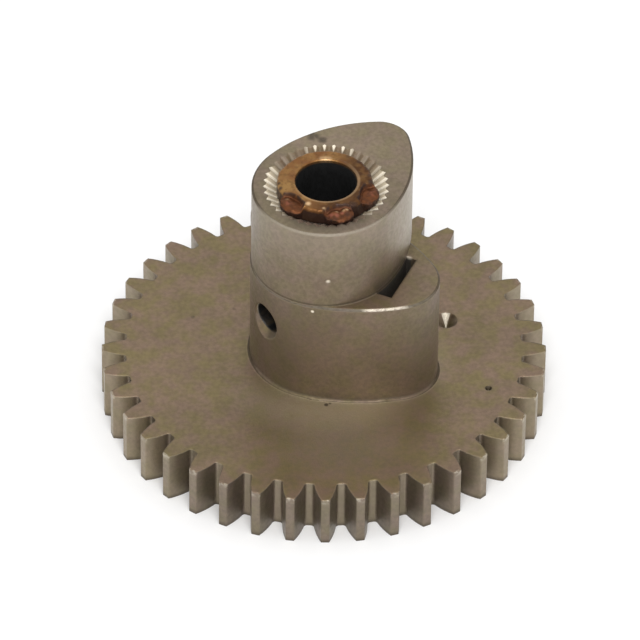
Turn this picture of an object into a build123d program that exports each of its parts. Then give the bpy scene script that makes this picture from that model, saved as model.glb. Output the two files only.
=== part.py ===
from math import acos, atan2, cos, degrees, hypot, pi, radians, sin, sqrt, tan
import os

from build123d import *

# Camshaft gear of a small four-stroke engine: a spur gear with two cams stacked on one axis,
# all one piece of steel, and a bronze bush pressed through the bore and staked at its top.
# Millimetres, +Z up along the bore, origin on the bore axis at the gear's back face.

# Gear teeth, standard full depth
tooth_count = 40
tooth_module = 1.5875
pressure_angle = 20.0
addendum_per_module = 1.0
dedendum_per_module = 1.25
root_fillet = 0.5
first_tooth_angle = 0.9
gear_thickness = 8.5

# Lower cam, standing on the gear
lower_cam_height = 18.3
lower_base_radius = 11.15
lower_nose_radius = 6.6
lower_nose_reach = 11.4
lower_flank_radius = 29.0
lower_nose_angle = -23.5
lower_edge_chamfer = 0.3
foot_fillet = 0.5

# Upper cam, standing on the lower cam
upper_cam_height = 14.0
upper_base_radius = 11.0
upper_nose_radius = 4.5
upper_nose_reach = 13.1
upper_flank_radius = 22.5
upper_nose_angle = 53.0
upper_edge_chamfer = 0.3

# Pocket sunk into the lower cam's top, against the upper cam's wall
pocket_width = 9.3
pocket_offset = 0.4
pocket_reach = 12.6
pocket_depth = 5.0

# Oil hole through the lower cam's wall and the bush
oil_hole_radius = 2.45
oil_hole_angle = -143.1
oil_hole_height = 11.7
oil_hole_chamfer = 0.6
oil_hole_mouth_drop = 0.4
bush_oil_hole_radius = 1.5

# Marks on the gear's face: a coned timing mark and a small punch mark
timing_mark_radius = 1.75
timing_mark_cone_angle = 90.0
timing_mark_reach = 19.5
timing_mark_angle = 19.5
punch_mark_radius = 0.5
punch_mark_cone_angle = 64.0
punch_mark_reach = 26.05
punch_mark_angle = -19.0

# Small dent in the upper cam's wall
dent_ball_radius = 0.8
dent_depth = 0.15
dent_angle = -87.5
dent_height = 4.9

# Bush and the bore in it
bore_radius = 4.55
bush_wall = 2.65
bush_bore_chamfer = 0.3
bush_proud = 1.1
bush_rim_radius = 6.85
bush_rim_chamfer = 0.45
bush_recess_at_back = 0.4

# Serrated countersink that the bush is staked into
countersink_radius = 8.8
countersink_depth = 1.1
serration_count = 40
serration_angle = 2.0
serration_width = 1.1
serration_depth = 0.3
back_bore_chamfer = 0.6

# Stakes: oval pads of bronze, punched down from the rim and outwards over the countersink
stake_angles = (-137.0, -73.5, -20.0)
stake_centre_reach = 7.05
stake_half_width = 2.1
stake_half_reach = 1.4
stake_height = 0.6
stake_chamfer = 0.3

# Levels and radii that follow
lower_cam_top = gear_thickness + lower_cam_height
upper_cam_top = lower_cam_top + upper_cam_height
bush_radius = bore_radius + bush_wall
bush_top = upper_cam_top + bush_proud
countersink_floor = upper_cam_top - countersink_depth
stake_top = upper_cam_top + stake_height
pitch_radius = tooth_count * tooth_module / 2
base_circle = pitch_radius * cos(radians(pressure_angle))
tip_radius = pitch_radius + addendum_per_module * tooth_module
root_radius = pitch_radius - dedendum_per_module * tooth_module
form_radius = max(base_circle, root_radius) + root_fillet
middle_radius = (form_radius + tip_radius) / 2


def involute(angle):
    """Involute function of an angle in radians: its tangent less itself."""
    return tan(angle) - angle


def flank_slope(radius):
    """Angle between the involute flank and the radius drawn to it."""
    return acos(base_circle / radius)


def half_tooth_angle(radius):
    """Half of the tooth's angle at a radius on the involute flank."""
    half_pitch_angle = pi / (2 * tooth_count)
    return half_pitch_angle + involute(radians(pressure_angle)) - involute(flank_slope(radius))


def polar(radius, angle):
    """Point at a radius and an angle in radians."""
    return (radius * cos(angle), radius * sin(angle))


def on_flank(radius, side):
    """Point of the involute flank at a radius; side is 1 or -1."""
    return polar(radius, side * half_tooth_angle(radius))


def flank_foot(side):
    """Point well inside the root circle, in line with the flank's lowest end."""
    x, y = on_flank(form_radius, side)
    direction = side * (half_tooth_angle(form_radius) - flank_slope(form_radius))
    length = (form_radius - root_radius) + 2 * root_fillet
    return (x - length * cos(direction), y - length * sin(direction))


def cam_arcs(base, nose, reach, flank_radius):
    """Centre, radius, start and sweep in degrees of a cam's four arcs, nose along +X."""
    to_base = flank_radius - base
    to_nose = flank_radius - nose
    along = (to_base**2 - to_nose**2 + reach**2) / (2 * reach)
    across = sqrt(to_base**2 - along**2)
    base_angle = degrees(atan2(across, -along))
    nose_angle = degrees(atan2(across, reach - along))
    flank_sweep = base_angle - nose_angle
    return [
        ((reach, 0), nose, -nose_angle, 2 * nose_angle),
        ((along, -across), flank_radius, nose_angle, flank_sweep),
        ((0, 0), base, base_angle, 360 - 2 * base_angle),
        ((along, across), flank_radius, -base_angle, flank_sweep),
    ]


def oil_hole_plane(distance, drop=0):
    """Plane across the oil hole, facing out, at a distance from the axis and a drop below the hole's."""
    turn = radians(oil_hole_angle)
    outwards = (cos(turn), sin(turn), 0)
    height = gear_thickness + oil_hole_height - drop
    return Plane(origin=(distance * cos(turn), distance * sin(turn), height), z_dir=outwards)


# One gear tooth, pointing along +X, with its foot inside the root circle
with BuildSketch() as tooth:
    with BuildLine():
        right_flank, left_flank = [
            ThreePointArc([on_flank(radius, side) for radius in (form_radius, middle_radius, tip_radius)])
            for side in (-1, 1)
        ]
        ThreePointArc(right_flank @ 1, (tip_radius, 0), left_flank @ 1)
        Polyline(left_flank @ 0, flank_foot(1), flank_foot(-1), right_flank @ 0)
    make_face()

# The whole toothed outline, with rounded corners at the foot of each tooth
with BuildSketch() as gear_outline:
    Circle(root_radius)
    with PolarLocations(0, tooth_count):
        add(tooth.sketch)
    root_corners = gear_outline.vertices().filter_by(
        lambda corner: abs(hypot(corner.X, corner.Y) - root_radius) < root_fillet / 10
    )
    fillet(root_corners, root_fillet)

# Outlines of the two cams, each with its nose along +X
with BuildSketch() as lower_outline:
    with BuildLine():
        for centre, radius, start, sweep in cam_arcs(
            lower_base_radius, lower_nose_radius, lower_nose_reach, lower_flank_radius
        ):
            CenterArc(centre, radius, start, sweep)
    make_face()

with BuildSketch() as upper_outline:
    with BuildLine():
        for centre, radius, start, sweep in cam_arcs(
            upper_base_radius, upper_nose_radius, upper_nose_reach, upper_flank_radius
        ):
            CenterArc(centre, radius, start, sweep)
    make_face()

# The pocket's outline, from the axis out along +X
with BuildSketch() as pocket_outline:
    with Locations((0, pocket_offset)):
        Rectangle(pocket_reach, pocket_width, align=(Align.MIN, Align.CENTER))

# One serration: a vee cut down the countersink's cone and through its rim
slope_length = hypot(countersink_radius - bush_radius, countersink_depth)
slope_in = ((bush_radius - countersink_radius) / slope_length, 0, -countersink_depth / slope_length)
vee_plane = Plane(origin=(countersink_radius, 0, upper_cam_top), x_dir=(0, -1, 0), z_dir=slope_in)
with BuildPart() as serration:
    with BuildSketch(vee_plane):
        with BuildLine():
            Polyline(
                (0, -serration_depth),
                (serration_width, serration_depth),
                (-serration_width, serration_depth),
                close=True,
            )
        make_face()
    extrude(amount=slope_length, both=True)

# The steel: gear, lower cam and upper cam in one piece
with BuildPart() as cam_gear:
    with BuildSketch():
        add(gear_outline.sketch, rotation=first_tooth_angle)
    extrude(amount=gear_thickness)

    with BuildSketch(Plane.XY.offset(gear_thickness)):
        add(lower_outline.sketch, rotation=lower_nose_angle)
    extrude(amount=lower_cam_height)
    gear_face = cam_gear.faces().filter_by(Plane.XY).sort_by(Axis.Z)[1]
    fillet(gear_face.inner_wires()[0].edges(), foot_fillet)
    lower_top = cam_gear.faces().sort_by(Axis.Z)[-1]
    chamfer(lower_top.outer_wire().edges(), lower_edge_chamfer)

    # The upper cam's round stem fills the chamfer where the two cams are flush
    with BuildSketch(Plane.XY.offset(gear_thickness)):
        Circle(upper_base_radius)
    extrude(amount=lower_cam_height)
    with BuildSketch(Plane.XY.offset(lower_cam_top)):
        add(upper_outline.sketch, rotation=upper_nose_angle)
    extrude(amount=upper_cam_height)
    upper_top = cam_gear.faces().sort_by(Axis.Z)[-1]
    chamfer(upper_top.outer_wire().edges(), upper_edge_chamfer)

    # Pocket beside the upper cam's wall
    with BuildSketch(Plane.XY.offset(lower_cam_top)):
        add(pocket_outline.sketch, rotation=lower_nose_angle)
        add(upper_outline.sketch, rotation=upper_nose_angle, mode=Mode.SUBTRACT)
    extrude(amount=-pocket_depth, mode=Mode.SUBTRACT)

    # Bore for the bush, countersunk and serrated at the top and chamfered at the back
    Hole(bush_radius)
    with Locations((0, 0, countersink_floor)):
        Cone(
            bush_radius,
            countersink_radius,
            countersink_depth,
            align=(Align.CENTER, Align.CENTER, Align.MIN),
            mode=Mode.SUBTRACT,
        )
    Cone(
        bush_radius + back_bore_chamfer,
        bush_radius,
        back_bore_chamfer,
        align=(Align.CENTER, Align.CENTER, Align.MIN),
        mode=Mode.SUBTRACT,
    )
    with PolarLocations(0, serration_count, start_angle=serration_angle):
        add(serration.part, mode=Mode.SUBTRACT)

    # Oil hole, drilled in from the side, its mouth chamfered a little low
    with BuildSketch(oil_hole_plane(bore_radius)):
        Circle(oil_hole_radius)
    extrude(amount=lower_base_radius, mode=Mode.SUBTRACT)
    mouth_depth = oil_hole_chamfer + oil_hole_mouth_drop
    with BuildSketch(oil_hole_plane(lower_base_radius - mouth_depth, oil_hole_mouth_drop)):
        Circle(oil_hole_radius - oil_hole_mouth_drop)
    extrude(amount=2 * mouth_depth, taper=-45, mode=Mode.SUBTRACT)

    # Timing mark and punch mark, both cones sunk from the gear's face
    for radius, cone_angle, reach, angle in (
        (timing_mark_radius, timing_mark_cone_angle, timing_mark_reach, timing_mark_angle),
        (punch_mark_radius, punch_mark_cone_angle, punch_mark_reach, punch_mark_angle),
    ):
        mark_x, mark_y = polar(reach, radians(angle))
        with Locations((mark_x, mark_y, gear_thickness)):
            Cone(
                0,
                radius,
                radius / tan(radians(cone_angle / 2)),
                align=(Align.CENTER, Align.CENTER, Align.MAX),
                mode=Mode.SUBTRACT,
            )

    # Dent in the upper cam's wall
    dent_x, dent_y = polar(upper_base_radius - dent_depth + dent_ball_radius, radians(dent_angle))
    with Locations((dent_x, dent_y, lower_cam_top + dent_height)):
        Sphere(dent_ball_radius, mode=Mode.SUBTRACT)
cam_gear.part.label = "cam_gear"

# One stake, along +X: its outline, and the pad of bronze that lies on the cone
with BuildSketch() as stake_outline:
    with Locations((stake_centre_reach, 0)):
        SlotOverall(2 * stake_half_width, 2 * stake_half_reach, rotation=90)

with BuildPart() as stake:
    with BuildSketch(Plane.XZ):
        with BuildLine():
            Polyline(
                (bore_radius, countersink_floor),
                (bush_radius, countersink_floor),
                (countersink_radius, upper_cam_top),
                (countersink_radius, stake_top),
                (bore_radius, stake_top),
                close=True,
            )
        make_face()
    revolve(axis=Axis.Z)
    with BuildSketch(Plane.XY.offset(countersink_floor)):
        add(stake_outline.sketch)
    extrude(amount=bush_top - countersink_floor, mode=Mode.INTERSECT)
    pad_top = stake.faces().sort_by(Axis.Z)[-1]
    chamfer(pad_top.outer_wire().edges(), stake_chamfer)

# The bronze bush, from just inside the back face to its staked rim
with BuildPart() as bush:
    with BuildSketch(Plane.XZ):
        with BuildLine():
            Polyline(
                (bore_radius, bush_recess_at_back),
                (bush_radius, bush_recess_at_back),
                (bush_radius, countersink_floor),
                (bush_rim_radius, upper_cam_top),
                (bush_rim_radius, bush_top),
                (bore_radius, bush_top),
                close=True,
            )
        make_face()
    revolve(axis=Axis.Z)
    rim_edges = bush.edges().filter_by(GeomType.CIRCLE).group_by(Axis.Z)[-1].sort_by(SortBy.RADIUS)
    chamfer(rim_edges[0], bush_bore_chamfer)
    chamfer(rim_edges[-1], bush_rim_chamfer)
    back_edges = bush.edges().filter_by(GeomType.CIRCLE).group_by(Axis.Z)[0].sort_by(SortBy.RADIUS)
    chamfer(back_edges[0], bush_bore_chamfer)

    # The stakes, sunk into the rim and standing out beside it
    with BuildSketch(Plane.XY.offset(stake_top)):
        for angle in stake_angles:
            add(stake_outline.sketch, rotation=angle)
    extrude(amount=bush_top - stake_top, mode=Mode.SUBTRACT)
    for angle in stake_angles:
        add(stake.part, rotation=(0, 0, angle))

    with BuildSketch(oil_hole_plane(0)):
        Circle(bush_oil_hole_radius)
    extrude(amount=2 * bush_radius, mode=Mode.SUBTRACT)
bush.part.label = "bush"

os.makedirs("parts", exist_ok=True)
export_step(cam_gear.part, "parts/cam_gear.step")
export_step(bush.part, "parts/bush.step")
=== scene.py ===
import math

import bpy
import numpy as np
from mathutils import Matrix, Vector


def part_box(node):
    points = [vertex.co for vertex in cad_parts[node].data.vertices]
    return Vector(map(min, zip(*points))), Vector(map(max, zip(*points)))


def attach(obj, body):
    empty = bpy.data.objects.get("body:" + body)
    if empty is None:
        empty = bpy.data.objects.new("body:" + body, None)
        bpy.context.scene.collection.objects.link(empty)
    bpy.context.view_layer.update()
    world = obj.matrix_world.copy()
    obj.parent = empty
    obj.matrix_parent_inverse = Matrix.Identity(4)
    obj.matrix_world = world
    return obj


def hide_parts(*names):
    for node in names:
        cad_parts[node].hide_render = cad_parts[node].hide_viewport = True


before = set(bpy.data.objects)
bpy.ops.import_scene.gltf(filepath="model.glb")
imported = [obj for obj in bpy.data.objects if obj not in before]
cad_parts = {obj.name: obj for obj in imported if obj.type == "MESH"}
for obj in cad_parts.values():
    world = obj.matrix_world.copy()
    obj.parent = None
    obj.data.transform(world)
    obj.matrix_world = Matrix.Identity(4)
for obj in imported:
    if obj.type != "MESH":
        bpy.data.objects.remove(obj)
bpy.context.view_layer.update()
mm = 0.001
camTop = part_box("cam_gear")[1].z  # level of the upper cam's top face
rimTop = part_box("bush")[1].z  # level of the bush's rim
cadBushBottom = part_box("bush")[0].z
upperCamHeight = 14.0 * mm
lowerCamHeight = 18.3 * mm
camStep = camTop - upperCamHeight  # level of the lower cam's top face
gearFace = camStep - lowerCamHeight
print("frame loaded, gear face at", round(gearFace / mm, 2), "mm")


def tone(red, green, blue):
    # a colour as it looks on screen, 0 to 255, turned into the linear values that sockets take
    share = np.array([red, green, blue]) / 255
    linear = np.where(share < 0.04045, share / 12.92, ((share + 0.055) / 1.055) ** 2.4)
    return (*linear.tolist(), 1.0)


def addNode(tree, kind, sockets=None, **settings):
    # one node, with its settings, and with each named socket linked or given its value
    node = tree.nodes.new(kind)
    for key, value in settings.items():
        setattr(node, key, value)
    for name, value in (sockets or {}).items():
        if isinstance(value, bpy.types.NodeSocket):
            tree.links.new(value, node.inputs[name])
        else:
            node.inputs[name].default_value = value
    return node


def maths(tree, operation, first, second=0.0, clamp=False):
    node = addNode(tree, "ShaderNodeMath", {0: first, 1: second}, operation=operation, use_clamp=clamp)
    return node.outputs[0]


def times(tree, first, *others):
    # the product of masks and numbers
    for other in others:
        first = maths(tree, "MULTIPLY", first, other)
    return first


def greatest(tree, first, *others):
    for other in others:
        first = maths(tree, "MAXIMUM", first, other)
    return first


def rest(tree, mask, share=1.0):
    # 1 less some share of a mask
    return maths(tree, "SUBTRACT", 1.0, mask if share == 1.0 else times(tree, mask, share))


def vectorMaths(tree, operation, first, second=(0.0, 0.0, 0.0), result="Vector"):
    # lengths, distances and dot products come out as "Value"
    node = addNode(tree, "ShaderNodeVectorMath", {0: first, 1: second}, operation=operation)
    return node.outputs[result]


def ramp(tree, value, low, high):
    # 0 below low, 1 above high and smooth between them; low may be the greater
    node = addNode(
        tree,
        "ShaderNodeMapRange",
        {"Value": value, "From Min": min(low, high), "From Max": max(low, high)},
        interpolation_type="SMOOTHSTEP",
    )
    return rest(tree, node.outputs[0]) if low > high else node.outputs[0]


def blendTones(tree, share, first, second, blend="MIX"):
    # the Mix node's colour sockets go by number, because its other sockets have the same names
    sockets = {0: share, 6: first, 7: second}
    node = addNode(tree, "ShaderNodeMix", sockets, data_type="RGBA", blend_type=blend, clamp_result=True)
    return node.outputs[2]


def layTones(tree, look, colour, *layers):
    # tones laid one over another, each where its mask says, and as strong as the look says for its effect
    for label, mask, effect in layers:
        share = times(tree, mask, look["much"][effect]) if effect else mask
        colour = blendTones(tree, share, colour, look[label])
    return colour


def newEffect(name, vectors, numbers, outputs):
    # an empty shader node group with its sockets, and the nodes that stand for them
    group = bpy.data.node_groups.new(name, "ShaderNodeTree")
    for label in vectors:
        group.interface.new_socket(label, in_out="INPUT", socket_type="NodeSocketVector")
    for label, value in numbers.items():
        socket = group.interface.new_socket(label, in_out="INPUT", socket_type="NodeSocketFloat")
        socket.default_value = value
    for label in outputs:
        kind = "NodeSocketVector" if label == "Normal" else "NodeSocketFloat"
        group.interface.new_socket(label, in_out="OUTPUT", socket_type=kind)
    return group, group.nodes.new("NodeGroupInput"), group.nodes.new("NodeGroupOutput")


def buildEdgeWear():
    # where a rounded normal leaves the flat one the surface is an edge, broken up by noise
    numbers = {"Radius": 0.15 * mm, "Gain": 4.0, "Broken": 0.5, "Grain": 900.0}
    group, given, result = newEffect("edgeWear", ["Place"], numbers, ["Mask", "Normal"])
    flat = addNode(group, "ShaderNodeNewGeometry")
    rounded = addNode(group, "ShaderNodeBevel", {"Radius": given.outputs["Radius"]}, samples=6)
    turned = rest(
        group, vectorMaths(group, "DOT_PRODUCT", flat.outputs["Normal"], rounded.outputs["Normal"], "Value")
    )
    noise = addNode(
        group,
        "ShaderNodeTexNoise",
        {"Vector": given.outputs["Place"], "Scale": given.outputs["Grain"], "Detail": 3.0},
    )
    patchy = ramp(group, noise.outputs[0], 0.35, 0.65)
    kept = rest(group, times(group, given.outputs["Broken"], patchy))
    worn = maths(group, "MULTIPLY", times(group, turned, given.outputs["Gain"]), kept, True)
    group.links.new(worn, result.inputs["Mask"])
    group.links.new(rounded.outputs["Normal"], result.inputs["Normal"])
    return group


def buildMottle():
    # four sizes of smooth noise: broad clouds, blotches of hue, spots of half a millimetre, and grain
    numbers = {"Cloud": 150.0, "Tint": 400.0, "Spot": 1500.0, "Grain": 4500.0}
    group, given, result = newEffect("mottle", ["Place"], numbers, ["Cloud", "Spot", "Hue", "Grain"])
    for label, source, shift, detail in (
        ("Cloud", "Cloud", 0.0, 4.0),
        ("Spot", "Spot", 0.3, 3.0),
        ("Hue", "Tint", 0.7, 2.0),
        ("Grain", "Grain", 0.0, 4.0),
    ):
        moved = vectorMaths(group, "ADD", given.outputs["Place"], (shift,) * 3)
        noise = addNode(
            group, "ShaderNodeTexNoise", {"Vector": moved, "Scale": given.outputs[source], "Detail": detail}
        )
        group.links.new(ramp(group, noise.outputs[0], 0.3, 0.7), result.inputs[label])
    return group


def buildPlaces():
    # where a point lies on the part: its distance from the axis, its height, and how its face slopes
    outputs = ["Radius", "Height", "Wall", "Level", "Up"]
    group, given, result = newEffect("places", ["Place", "Normal"], {}, outputs)
    flattened = vectorMaths(group, "MULTIPLY", given.outputs["Place"], (1.0, 1.0, 0.0))
    radius = vectorMaths(group, "LENGTH", flattened, result="Value")
    place = addNode(group, "ShaderNodeSeparateXYZ", {0: given.outputs["Place"]})
    normal = addNode(group, "ShaderNodeSeparateXYZ", {0: given.outputs["Normal"]})
    steep = ramp(group, maths(group, "ABSOLUTE", normal.outputs["Z"]), 0.6, 0.3)
    group.links.new(radius, result.inputs["Radius"])
    group.links.new(place.outputs["Z"], result.inputs["Height"])
    group.links.new(steep, result.inputs["Wall"])
    group.links.new(ramp(group, normal.outputs["Z"], 0.9, 0.99), result.inputs["Level"])
    group.links.new(normal.outputs["Z"], result.inputs["Up"])
    return group


def buildGrimeAndShade():
    # dirt and painted shade where little of the surroundings is seen, and noise breaks its edge
    numbers = {"Reach": 3 * mm, "Clean": 0.8, "Full": 0.35, "Grain": 700.0}
    group, given, result = newEffect("grimeAndShade", ["Place"], numbers, ["Mask"])
    sky = addNode(group, "ShaderNodeAmbientOcclusion", {"Distance": given.outputs["Reach"]}, samples=8)
    noise = addNode(
        group,
        "ShaderNodeTexNoise",
        {"Vector": given.outputs["Place"], "Scale": given.outputs["Grain"], "Detail": 3.0},
    )
    shift = times(group, maths(group, "SUBTRACT", noise.outputs[0], 0.5), 0.3)
    light = maths(group, "ADD", sky.outputs["AO"], shift)
    share = addNode(
        group,
        "ShaderNodeMapRange",
        {"Value": light, "From Min": given.outputs["Full"], "From Max": given.outputs["Clean"]},
        interpolation_type="SMOOTHSTEP",
    )
    group.links.new(rest(group, share.outputs[0]), result.inputs["Mask"])
    return group


edgeWear = buildEdgeWear()
mottle = buildMottle()
places = buildPlaces()
grimeAndShade = buildGrimeAndShade()
print("shared effects built")


def newMaterial(name):
    # an empty material with its shader, and the point and normal in the part's own frame
    material = bpy.data.materials.new(name)
    material.use_nodes = True
    tree = material.node_tree
    shader = tree.nodes["Principled BSDF"]
    where = addNode(tree, "ShaderNodeTexCoord")
    return material, tree, shader, where.outputs["Object"], where.outputs["Normal"]


def placeEffect(tree, group, sockets):
    # a shared effect placed in a material with the material's own values
    return addNode(tree, "ShaderNodeGroup", sockets, node_tree=group).outputs


def sectorShare(tree, place, angle, inner, outer):
    # 1 within the inner half angle of a direction round the axis, fading to 0 at the outer one
    turn = math.radians(angle)
    unit = vectorMaths(tree, "NORMALIZE", vectorMaths(tree, "MULTIPLY", place, (1.0, 1.0, 0.0)))
    along = vectorMaths(tree, "DOT_PRODUCT", unit, (math.cos(turn), math.sin(turn), 0.0), "Value")
    return ramp(tree, along, math.cos(math.radians(outer)), math.cos(math.radians(inner)))


def nearPoint(tree, place, point, reach, softness):
    # 1 within reach of a point, fading to 0 over the softness
    gap = vectorMaths(tree, "DISTANCE", place, point, "Value")
    return ramp(tree, gap, reach + softness, reach)


steelLook = {
    "gearTone": tone(131, 114, 86),
    "camTone": tone(142, 129, 110),
    "oliveTone": tone(128, 115, 72),
    "pinkTone": tone(141, 115, 100),
    "paleTone": tone(212, 203, 184),
    "flankTone": tone(190, 176, 146),
    "landTone": tone(200, 186, 160),
    "cutTone": tone(244, 234, 214),
    "darkTone": tone(63, 54, 42),
    "greyTone": tone(136, 130, 124),
    "dullTone": tone(104, 80, 50),
    "smearTone": tone(130, 109, 94),
    "hollowTone": tone(14, 14, 15),
    "pocketTone": tone(58, 62, 64),
    "edgeLoss": (0.027, 0.027, 0.027, 0.0),  # taken from the tone of a dull edge, against its own gloss
    "metallic": 0.82,
    "roughness": 0.41,
    "coat": 0.25,  # a thin film of oil
    "coatRoughness": 0.3,
    "edgeRadius": 0.4 * mm,
    "toothZone": (27.0 * mm, 28.5 * mm),  # reach at which the teeth, with less dirt and painted shade, begin, and are whole
    "rootRadius": 29.77 * mm,
    "tipRadius": 33.2 * mm,
    "tipSoftness": 0.2 * mm,
    "serrations": 40,
    "serrationPhase": 2.0,  # degrees
    "serrationRim": 9.3 * mm,
    "narrowing": (0.15, 1.1),  # of a groove, per millimetre inwards: everywhere, and more at the far side
    "footHeight": (1.2 * mm, 0.9 * mm),  # above the gear's face: where dirt at the foot begins, and is whole
    "camReach": 17.7 * mm,  # the lower cam's corner with the upper one lies within this reach
    "pocketReach": 12.7 * mm,
    "oilHoleSide": -143.1,
    "oilHoleHeight": 20.2 * mm,
    "oilHoleRadius": 2.45 * mm,
    "oilHoleMouth": (10.9 * mm, 10.3 * mm),  # reach at which its dark inside begins, and is whole
    "timingMark": (19.5 * mm, 19.5, 1.75 * mm),  # reach, angle and radius of the mark on the gear's face
    "punchMark": (26.05 * mm, -19.0, 0.5 * mm),
    # sides of the part, each an angle and its half angles, full and faded out
    "shine": ((188.5, 19.0, 46.0), (-8.5, 18.0, 45.0)),  # of the countersink, as the next three; here and in the next its grooves get painted highlights
    "farShine": (86.0, 6.0, 30.0),
    "dull": (91.0, 50.0, 85.0),
    "smear": (-88.0, 28.0, 50.0),  # smeared with bronze and oil
    "paleTop": (75.0, 25.0, 60.0),  # of the upper cam's top
    "toothSides": ((180.0, 25.0, 62.0), (0.0, 25.0, 62.0)),  # where flanks get painted light and roots painted shade
    "pocketSide": (-23.5, 36.0, 40.0),
    "darkLowFront": (-90.0, 15.0, 50.0),  # where the lower cam's wall has painted shade low down
    "footSheen": (-66.0, 28.0, 90.0),  # where the gear's face has a painted sheen round the foot
    "brightEdge": (-52.5, 6.0, 14.0),  # where the lower cam's top edge gets a painted highlight
    "markShine": (92.0, 20.0, 27.0),  # where the timing mark's wall gets a painted highlight
    "frontSheen": ((3.0 * mm, -18.5 * mm, 8.5 * mm), 1.0 * mm, 13.0 * mm),  # place, reach and softness of a painted sheen on the gear's face
    "bright": (  # painted glints: on the dent in the upper cam's wall and on other specks, as for the stains
        ((0.48, -11.0, 31.7), 0.12, 0.34, 0.75),
        ((-1.78, -11.06, 25.8), 0.1, 0.24, 1.0),
        ((12.4, -0.1, 26.8), 0.2, 0.5, 0.5),
        ((3.3, -11.05, 40.75), 0.1, 0.3, 0.7),
    ),
    "stains": (  # place, reach and softness in millimetres, and strength
        ((-2.0, 11.1, 40.8), 0.5, 0.8, 0.72),
        ((-0.6, 10.3, 40.8), 0.3, 0.7, 0.75),
        ((-19.8, 6.5, 8.5), 0.15, 0.3, 0.6),
        ((0.45, -12.6, 8.5), 0.2, 0.25, 0.85),
        ((1.0, -12.3, 8.5), 0.1, 0.2, 0.7),
        ((-13.6, 8.4, 8.5), 0.1, 0.3, 0.45),
    ),
    "much": {  # how much of each effect there is, 0 to 1
        "blotches": 0.64,
        "greyWalls": 0.3,
        "lessAbove": 0.22,  # both are weaker on the upper cam
        "clouds": 0.15,
        "spots": 0.18,
        "grain": 0.1,
        "darkTop": 0.08,
        "paleTop": 0.16,
        "dirtAndShade": 0.42,
        "teethLessGrimeAndShade": 0.6,
        "pocket": 0.6,
        "greyTeeth": 0.14,
        "shadedTeeth": 0.14,
        "paleFlanks": 0.28,
        "paleRoots": 0.25,
        "darkRoots": 0.72,
        "paleTips": 0.46,
        "darkBottom": 0.55,
        "darkLowFront": 0.2,
        "greySheen": 0.2,
        "paleSheen": 0.06,
        "footSheen": 0.5,
        "glint": 0.05,  # of a groove that nothing lights
        "shine": 0.92,
        "plainLands": 0.4,
        "ring": 0.56,
        "lands": 0.9,
        "dull": 0.6,
        "smears": 0.85,
        "holeMouth": 0.8,
        "markBack": 0.8,
        "markSide": 0.3,
        "markGlint": 0.4,
        "punchMark": 0.8,
        "rightSide": 0.24,
        "upperFront": 0.13,
        # the next three set dirt and painted shade at the lower cam's foot and in the cams' corner
        "footDirtAndShade": 0.9,
        "frontLessDirtAndShade": 0.55,
        "cornerDirtAndShade": 0.6,
        "brokenEdges": 0.4,
        "sideEdges": 0.75,
        "rimChamfer": 0.7,
        "greyChamfer": 0.45,
        "paleRim": 0.2,
        "dimmedStep": 0.55,
        # the next three are painted pale and lit: rubbed edges, chamfers and a painted highlight on the step;
        # the one after darkens edges that face away
        "rubbedEdges": 0.06,
        "rubbedChamfer": 0.08,
        "stepGlintShare": 0.36,
        "darkFarEdges": 0.8,
        "dullSides": 0.8,  # how dull the edges are
        "dullDirtAndShade": 0.5,
        "dullStep": 0.9,
        "lostMetal": 0.7,  # where an edge is dull
        "mattCuts": 0.6,
        "rougherSpots": 0.1,
        "rougher": 0.25,  # where it is smeared or dull
    },
}


def patina(tree, look, place, spot, cloudy, dirtAndShade):
    # the dull sintered skin: two tones by height, blotches of hue, and dirt with painted shade in the corners
    much = look["much"]
    upper = ramp(tree, spot["Height"], camStep - 1.0 * mm, camStep + 1.0 * mm)
    colour = blendTones(tree, upper, look["gearTone"], look["camTone"])
    less = times(tree, upper, much["lessAbove"])
    tinted = blendTones(tree, cloudy["Hue"], look["oliveTone"], look["pinkTone"])
    colour = blendTones(tree, maths(tree, "SUBTRACT", much["blotches"], less), colour, tinted)
    grey = times(tree, spot["Wall"], maths(tree, "SUBTRACT", much["greyWalls"], less))
    atTop = times(tree, ramp(tree, spot["Height"], camTop - 0.1 * mm, camTop), spot["Level"])
    behind = times(tree, sectorShare(tree, place, *look["paleTop"]), much["paleTop"])
    atTop = times(tree, atTop, maths(tree, "SUBTRACT", much["darkTop"], behind))
    worn = times(tree, cloudy["Cloud"], much["clouds"])
    worn = maths(tree, "ADD", worn, times(tree, cloudy["Spot"], much["spots"]))
    worn = maths(tree, "ADD", worn, times(tree, cloudy["Grain"], much["grain"]))
    worn = maths(tree, "ADD", worn, atTop, True)
    layers = ("greyTone", grey, None), ("darkTone", worn, None), ("darkTone", dirtAndShade, "dirtAndShade")
    return layTones(tree, look, colour, *layers)


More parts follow.
